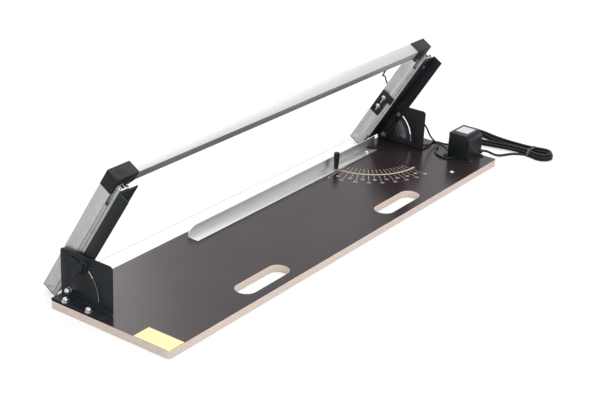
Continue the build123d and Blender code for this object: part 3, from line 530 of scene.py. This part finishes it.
ARM_ALUMINIUM = anodised("anodised_arm", False, 0.76, 0.85)
BAR_ALUMINIUM = anodised("anodised_bar", True, 0.66, 0.74)
BLACK_MOULDING = moulding("black_moulding", (0.014, 0.016, 0.018), (0.021, 0.024, 0.027), 0.46)
for side in ("near", "far"):
    eased(side + "_arm", "bow", ARM_ALUMINIUM, 0.0005)
    eased(side + "_elbow", "bow", BLACK_MOULDING, 0.0012)
eased("top_bar", "bow", BAR_ALUMINIUM, 0.0005)
eased("stop_block", "bow", BLACK_MOULDING, 0.0004)
finish_cad("arm_feet", BLACK_MOULDING)
for node in ("arm_screws", "stop_screws", "wire_spring"):
    finish_cad(node, ZINC)
finish_cad("elbow_screws", BLACK_OXIDE)


BRASS = clouded("brass", 220.0, 4.0, (0.62, 0.58, 0.46), (0.78, 0.74, 0.62),
                rough=(0.22, 0.4), metallic=1.0)
STEATITE = clouded("steatite", 300.0, 4.0, (0.70, 0.68, 0.63), (0.80, 0.78, 0.73),
                   Roughness=0.35, Subsurface_Weight=0.05)
# Chrome-nickel wire, straw to blue where it has been hot.
BLUED_WIRE = clouded("blued_wire", 9.0, 3.0, (0.36, 0.33, 0.31), (0.24, 0.25, 0.30),
                     metallic=1.0, Roughness=0.35)
finish_cad("anchor_screws", BRASS)
finish_cad("anchor_insulators", STEATITE)
finish_cad("hot_wire", BLUED_WIRE)


# ---- clamp levers -------------------------------------------------------------------------
# Moulded lever nuts outside each plate, on the bolts that ride in the curved slots.
for side in ("near", "far"):
    eased(side + "_clamp_lever", side + "_lever", BLACK_MOULDING, 0.0008)


# ---- fence --------------------------------------------------------------------------------
# Aluminium angle that swings on a pan-head bolt; a tapered black grip on a T-bolt in the curved
# slot clamps it.
FENCE_ALUMINIUM = anodised("anodised_fence", True, 0.66, 0.74)
eased("fence_angle", "fence", FENCE_ALUMINIUM, 0.0004)
finish_cad("fence_knob", moulding("grip_moulding", (0.012, 0.013, 0.014), (0.02, 0.021, 0.022), 0.4))
for node in ("fence_pivot_bolt", "fence_stud"):
    finish_cad(node, ZINC)


# ---- transformer --------------------------------------------------------------------------
# Potted block in a ribless black case on a foot plate with four screws, a terminal cover across
# its front and a blank silver rating plate on top.
CASE_MOULDING = moulding("case_moulding", (0.010, 0.013, 0.014), (0.018, 0.022, 0.023), 0.34)
eased("transformer_case", "base", CASE_MOULDING, 0.0006)
eased("transformer_cover", "base", CASE_MOULDING, 0.0012)
eased("transformer_base", "base", CASE_MOULDING, 0.0005)
finish_cad("transformer_screws", BLACK_OXIDE)
finish_cad("lead_box", CASE_MOULDING)


SILVER_FOIL = clouded("silver_foil", 90.0, 5.0, (0.60, 0.60, 0.65), (0.70, 0.70, 0.75),
                      metallic=0.3, Roughness=0.35)
finish_cad("transformer_label", SILVER_FOIL)


# ---- mains cord and leads -----------------------------------------------------------------
# Round black PVC cord of 6.4 mm: out of the gland, down over the board's end, then five turns of
# a tied hank and back to its two-pin plug. Two thin leads run down from the box on the far plate
# to the board, and a third from the top bar to the far arm.
def pvc():
    material, tree, shader = new_material("pvc", Specular_IOR_Level=0.34)
    place = add(tree, "ShaderNodeTexCoord").outputs["Object"]
    cloud = cloud_at(tree, place, 45.0, 5.0)
    tree.links.new(ramp(tree, cloud, (0.35, (0.006, 0.007, 0.008)), (0.65, (0.012, 0.014, 0.016))),
                   shader.inputs["Base Color"])
    vary_roughness(tree, shader, cloud, 0.30, 0.46)
    skin = cloud_at(tree, place, 1500.0, 2.0)
    skin_bump(tree, shader, skin, 0.2, 0.0001)
    return material


PVC = pvc()
CORD_D, LEAD_D = 0.0064, 0.0046
LEAD_IN = [(0.651, -0.109, 0.0244), (0.662, -0.1095, 0.0244), (0.675, -0.115, 0.0215),
           (0.686, -0.1235, 0.0145), (0.697, -0.1315, 0.0076), (0.710, -0.1385, 0.004),
           (0.725, -0.146, 0.0035), (0.744, -0.1565, 0.0034), (0.757, -0.170, 0.0034),
           (0.765, -0.189, 0.0034)]
# One turn of the hank, seen from above, from the waist on the board's side.
TURN = [(0.767, -0.160), (0.767, -0.182), (0.7605, -0.205), (0.755, -0.2265), (0.7587, -0.2403),
        (0.7688, -0.2503), (0.7825, -0.254), (0.7963, -0.2503), (0.8063, -0.2403), (0.810, -0.2265),
        (0.8045, -0.205), (0.798, -0.182), (0.797, -0.150), (0.7975, -0.112), (0.802, -0.076),
        (0.8085, -0.046), (0.810, -0.022), (0.8053, -0.0045), (0.7925, 0.0083), (0.775, 0.013),
        (0.7575, 0.0083), (0.7447, -0.0045), (0.740, -0.022), (0.743, -0.050), (0.753, -0.090),
        (0.763, -0.128)]
FIRST_STEP, LAST_STEP = 2, 18
# Inset from the outer turn and height, for each of the five turns.
LAYS = [(0.0, 0.0034), (0.0067, 0.0034), (0.0, 0.0097), (0.0067, 0.0099), (0.0034, 0.0159)]
# Share of a turn over which it shifts to the next lay and climbs on it, and how the near end fans.
SHIFT, CLIMB = (0.62, 0.95), (0.52, 0.9)
FAN_FROM_Y, FAN_LENGTH, FAN_SPREAD, FAN_RISE = -0.07, 0.11, 0.25, 0.0012
TAIL = [(0.784, 0.012, 0.0194), (0.768, 0.0135, 0.0193), (0.753, 0.005, 0.0191), (0.746, -0.012, 0.019),
        (0.738, -0.024, 0.019), (0.728, -0.028, 0.019)]


def eased_step(x, start, end):
    """0 before start, 1 after end, smooth between."""
    u = min(1.0, max(0.0, (x - start) / (end - start)))
    return u * u * (3 - 2 * u)


def hank_points():
    """Control points of the hank's turns, each laid inside or on the one before."""
    points = []
    count, last = len(TURN), len(LAYS) - 1
    for turn, (inset, height) in enumerate(LAYS):
        next_inset, next_height = LAYS[min(turn + 1, last)]
        for k in range(FIRST_STEP if turn == 0 else 0, LAST_STEP if turn == last else count):
            x, y = TURN[k]
            before, after = Vector(TURN[k - 1]), Vector(TURN[(k + 1) % count])
            along = (after - before).normalized()
            fan = max(0.0, y - FAN_FROM_Y) / FAN_LENGTH
            now = inset + (next_inset - inset) * eased_step(k / count, *SHIFT)
            now *= 1 + FAN_SPREAD * fan
            z = height + (next_height - height) * eased_step(k / count, *CLIMB)
            points.append((x - along.y * now, y + along.x * now, z + FAN_RISE * turn * fan))
    return points


def cord_curve(name, points, diameter, material):
    """Round cord as one NURBS spline through its control points."""
    curve = bpy.data.curves.new(name, "CURVE")
    curve.dimensions = "3D"
    spline = curve.splines.new("NURBS")
    spline.points.add(len(points) - 1)
    for point, place in zip(spline.points, points):
        point.co = (*place, 1.0)
    spline.order_u = 3
    spline.use_endpoint_u = True
    spline.resolution_u = 8
    curve.bevel_depth = diameter / 2
    curve.bevel_resolution = 5
    curve.use_fill_caps = True
    curve.materials.append(material)
    piece = bpy.data.objects.new(name, curve)
    bpy.context.scene.collection.objects.link(piece)
    return piece


LATHE_SIDES, LATHE_SHARP = 48, math.radians(35)


def lathed(name, profile, centre):
    """Solid of revolution about an X-wise axis through centre (y, z), from (x, radius) pairs."""
    bm = bmesh.new()
    rings = []
    for x, radius in profile:
        if radius == 0.0:
            rings.append([bm.verts.new((x, centre[0], centre[1]))] * LATHE_SIDES)
            continue
        turns = [2 * math.pi * k / LATHE_SIDES for k in range(LATHE_SIDES)]
        rings.append([bm.verts.new((x, centre[0] + radius * math.cos(a),
                                    centre[1] + radius * math.sin(a))) for a in turns])
    for one, two in zip(rings, rings[1:]):
        for k in range(LATHE_SIDES):
            corners = (one[k - 1], one[k], two[k], two[k - 1])
            bm.faces.new(list(dict.fromkeys(corners)))
    bmesh.ops.recalc_face_normals(bm, faces=bm.faces)
    mesh = bpy.data.meshes.new(name)
    bm.to_mesh(mesh)
    bm.free()
    mesh.shade_smooth()
    mesh.set_sharp_from_angle(angle=LATHE_SHARP)
    return mesh


def ribbed(x0, x1, r0, r1, count, depth):
    """Profile of a cone from (x0, r0) to (x1, r1) with rounded grooves cut into it."""
    profile = []
    pitch = (x1 - x0) / count
    for k in range(count):
        for part, sunk in ((0.0, 0.0), (0.45, 0.0), (0.6, 0.8), (0.75, 1.0), (0.9, 0.8)):
            u = (k + part) / count
            profile.append((x0 + (k + part) * pitch, r0 + (r1 - r0) * u - depth * sunk))
    return profile + [(x1, r1)]


PLUG_MOULDING = moulding("plug_moulding", (0.010, 0.011, 0.013), (0.017, 0.019, 0.021), 0.42)
PLUG_FACE_X, PLUG_AXIS = 0.672, (-0.028, 0.019)
# From the face: body, its ribs, shoulder and the ribbed strain relief.
plug_profile = [(PLUG_FACE_X, 0.0), (PLUG_FACE_X, 0.0165), (PLUG_FACE_X + 0.002, 0.0185)]
plug_profile += ribbed(PLUG_FACE_X + 0.012, PLUG_FACE_X + 0.031, 0.0184, 0.0184, 5, 0.0009)
plug_profile += [(PLUG_FACE_X + 0.033, 0.0168), (PLUG_FACE_X + 0.0335, 0.0112)]
plug_profile += ribbed(PLUG_FACE_X + 0.035, PLUG_FACE_X + 0.0585, 0.0107, 0.0052, 5, 0.0012)
plug_profile += [(PLUG_FACE_X + 0.0588, 0.0033), (PLUG_FACE_X + 0.0588, 0.0)]
plug_mesh = lathed("plug_body", plug_profile, PLUG_AXIS)
plug = new_piece("plug_body", plug_mesh, "base", PLUG_MOULDING)
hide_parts("mains_plug")
finish_cad("plug_pins", ZINC)

GLAND_X, GLAND_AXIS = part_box("mains_gland")[0].x, (-0.109, 0.0244)
# From the case: collar, two ribs and the bore that the cord leaves by.
gland_profile = [(GLAND_X, 0.0037), (GLAND_X, 0.0052), (GLAND_X + 0.0004, 0.0056),
                 (GLAND_X + 0.005, 0.0056)]
gland_profile += ribbed(GLAND_X + 0.0055, GLAND_X + 0.0118, 0.0053, 0.0045, 2, 0.0007)
gland_profile += [(GLAND_X + 0.0119, 0.0037), (GLAND_X, 0.0037)]
gland_mesh = lathed("gland_body", gland_profile, GLAND_AXIS)
gland = new_piece("gland_body", gland_mesh, "base", PLUG_MOULDING)
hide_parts("mains_gland")


# Paper-covered tie wire, dark with pale scuffs where it has been bent.
TIE_PAPER = clouded("tie_paper", 420.0, 4.0, (0.02, 0.021, 0.024), (0.34, 0.35, 0.38),
                    stops=(0.52, 0.62), Roughness=0.5)
TIE_Y, TIE_HALF, TIE_T, TIE_LEAN = -0.195, 0.0032, 0.0011, 0.0012
PIGTAIL_X, PIGTAIL_Z, PIGTAIL_ARCH = 0.7800, 0.0185, 0.0045
PIGTAIL_RUN_X, PIGTAIL_RUN_Y, HALF_TURNS = 0.013, 0.006, 7.0
STRAND_OFFSET, STRAND_R, STRAND_STEPS, STRAND_SIDES = 0.0011, 0.001, 28, 8
# Outline of the bundle that the tie pulls on, in X and Z.
TIE_HULL = [(0.7605, 0.0006), (0.8045, 0.0006), (0.8052, 0.0034), (0.8050, 0.0098), (0.8030, 0.0160),
            (0.7985, 0.0194), (0.7905, 0.0180), (0.7825, 0.0172), (0.7745, 0.0180), (0.7665, 0.0194),
            (0.7620, 0.0160), (0.7598, 0.0098), (0.7597, 0.0034)]


def cord_tie():
    """Flat strap round the waist, then its two ends wound round each other in a short pigtail."""
    bm = bmesh.new()
    loop = []
    count = len(TIE_HULL)
    for k, (x, z) in enumerate(TIE_HULL):
        along = (Vector(TIE_HULL[(k + 1) % count]) - Vector(TIE_HULL[k - 1])).normalized()
        out = Vector((along.y, -along.x)) * TIE_T
        lean = TIE_LEAN * math.sin(1.7 * k)
        loop.append([bm.verts.new(p) for p in (
            (x, TIE_Y + lean - TIE_HALF, z), (x + out.x, TIE_Y + lean - TIE_HALF, z + out.y),
            (x + out.x, TIE_Y + lean + TIE_HALF, z + out.y), (x, TIE_Y + lean + TIE_HALF, z))])
    for k in range(count):
        one, two = loop[k - 1], loop[k]
        for j in range(4):
            bm.faces.new((one[j - 1], one[j], two[j], two[j - 1]))
    for phase in (0.0, math.pi):
        rings = []
        for step in range(STRAND_STEPS + 1):
            u = step / STRAND_STEPS
            a = phase + HALF_TURNS * math.pi * u
            spread = STRAND_OFFSET + 0.0022 * max(0.0, u - 0.8)
            centre = Vector((PIGTAIL_X - PIGTAIL_RUN_X * u + spread * math.cos(a),
                             TIE_Y - PIGTAIL_RUN_Y * u + spread * math.sin(a),
                             PIGTAIL_Z + PIGTAIL_ARCH * math.sin(math.pi * u)))
            round_it = [2 * math.pi * j / STRAND_SIDES for j in range(STRAND_SIDES)]
            rings.append([bm.verts.new(centre + Vector((0.0, STRAND_R * math.cos(b),
                                                        STRAND_R * math.sin(b)))) for b in round_it])
        for one, two in zip(rings, rings[1:]):
            for j in range(STRAND_SIDES):
                bm.faces.new((one[j - 1], one[j], two[j], two[j - 1]))
        bm.faces.new(rings[0])
        bm.faces.new(list(reversed(rings[-1])))
    bmesh.ops.recalc_face_normals(bm, faces=bm.faces)
    mesh = bpy.data.meshes.new("twist_tie")
    bm.to_mesh(mesh)
    bm.free()
    mesh.shade_smooth()
    mesh.set_sharp_from_angle(angle=math.radians(40))
    return mesh


tie = new_piece("twist_tie", cord_tie(), "base", TIE_PAPER)
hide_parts("cord_tie")
cord_route = LEAD_IN + hank_points() + TAIL
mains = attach(cord_curve("mains_cord", cord_route, CORD_D, PVC), "base")
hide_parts("mains_lead", "cord_hank", "mains_tail")


def spline_length(piece):
    """Length along the spline's own line."""
    bare = piece.data.copy()
    bare.bevel_depth = 0.0
    probe = bpy.data.objects.new("probe", bare)
    bpy.context.scene.collection.objects.link(probe)
    mesh = bpy.data.meshes.new_from_object(probe)
    ends = [[mesh.vertices[k].co for k in edge.vertices] for edge in mesh.edges]
    total = sum((a - b).length for a, b in ends)
    bpy.data.objects.remove(probe)
    return total


spline_length(mains)

LEAD_A = [(0.5785, 0.040, 0.093), (0.5785, 0.029, 0.092), (0.582, 0.022, 0.083), (0.592, 0.021, 0.070),
          (0.605, 0.023, 0.055), (0.618, 0.023, 0.040), (0.628, 0.017, 0.0275), (0.627, 0.004, 0.0216),
          (0.614, -0.004, 0.0206), (0.598, -0.006, 0.0205), (0.582, -0.012, 0.0205),
          (0.568, -0.026, 0.0205), (0.560, -0.044, 0.0205), (0.560, -0.061, 0.0205),
          (0.566, -0.073, 0.0214), (0.580, -0.078, 0.025)]
LEAD_B = [(0.5785, 0.046, 0.090), (0.5785, 0.046, 0.071), (0.5785, 0.0445, 0.054),
          (0.5785, 0.0405, 0.039),
          (0.582, 0.033, 0.028), (0.592, 0.025, 0.0244), (0.606, 0.021, 0.0226), (0.620, 0.024, 0.0205),
          (0.633, 0.029, 0.0205), (0.643, 0.023, 0.0205), (0.645, 0.009, 0.0206), (0.641, -0.007, 0.022),
          (0.636, -0.022, 0.027), (0.633, -0.038, 0.032), (0.632, -0.057, 0.034)]
# The lead from the top bar to the back of the far arm, as (X, back from the tilt axis, up the bow).
REST_TILT = math.radians(31.2)
JUMPER_D = 0.004
JUMPER = [(0.405, 0.0483, 0.2795), (0.405, 0.0488, 0.258), (0.412, 0.051, 0.236), (0.432, 0.057, 0.214),
          (0.462, 0.065, 0.194), (0.494, 0.073, 0.177), (0.520, 0.078, 0.160), (0.534, 0.077, 0.146),
          (0.5375, 0.070, 0.138), (0.5375, 0.0605, 0.136)]


def on_bow(x, back, up):
    """Place on the resting bow in the frame's own axes."""
    return (x, TILT_AXIS.y + back * math.cos(REST_TILT) - up * math.sin(REST_TILT),
            TILT_AXIS.z + back * math.sin(REST_TILT) + up * math.cos(REST_TILT))


leads = [("bow_lead_a", "base", LEAD_A, LEAD_D), ("bow_lead_b", "base", LEAD_B, LEAD_D),
         ("jumper_lead", "bow", [on_bow(*place) for place in JUMPER], JUMPER_D)]
for name, body, route, diameter in leads:
    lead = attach(cord_curve(name + "_cord", route, diameter, PVC), body)
    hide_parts(name)
    spline_length(lead)
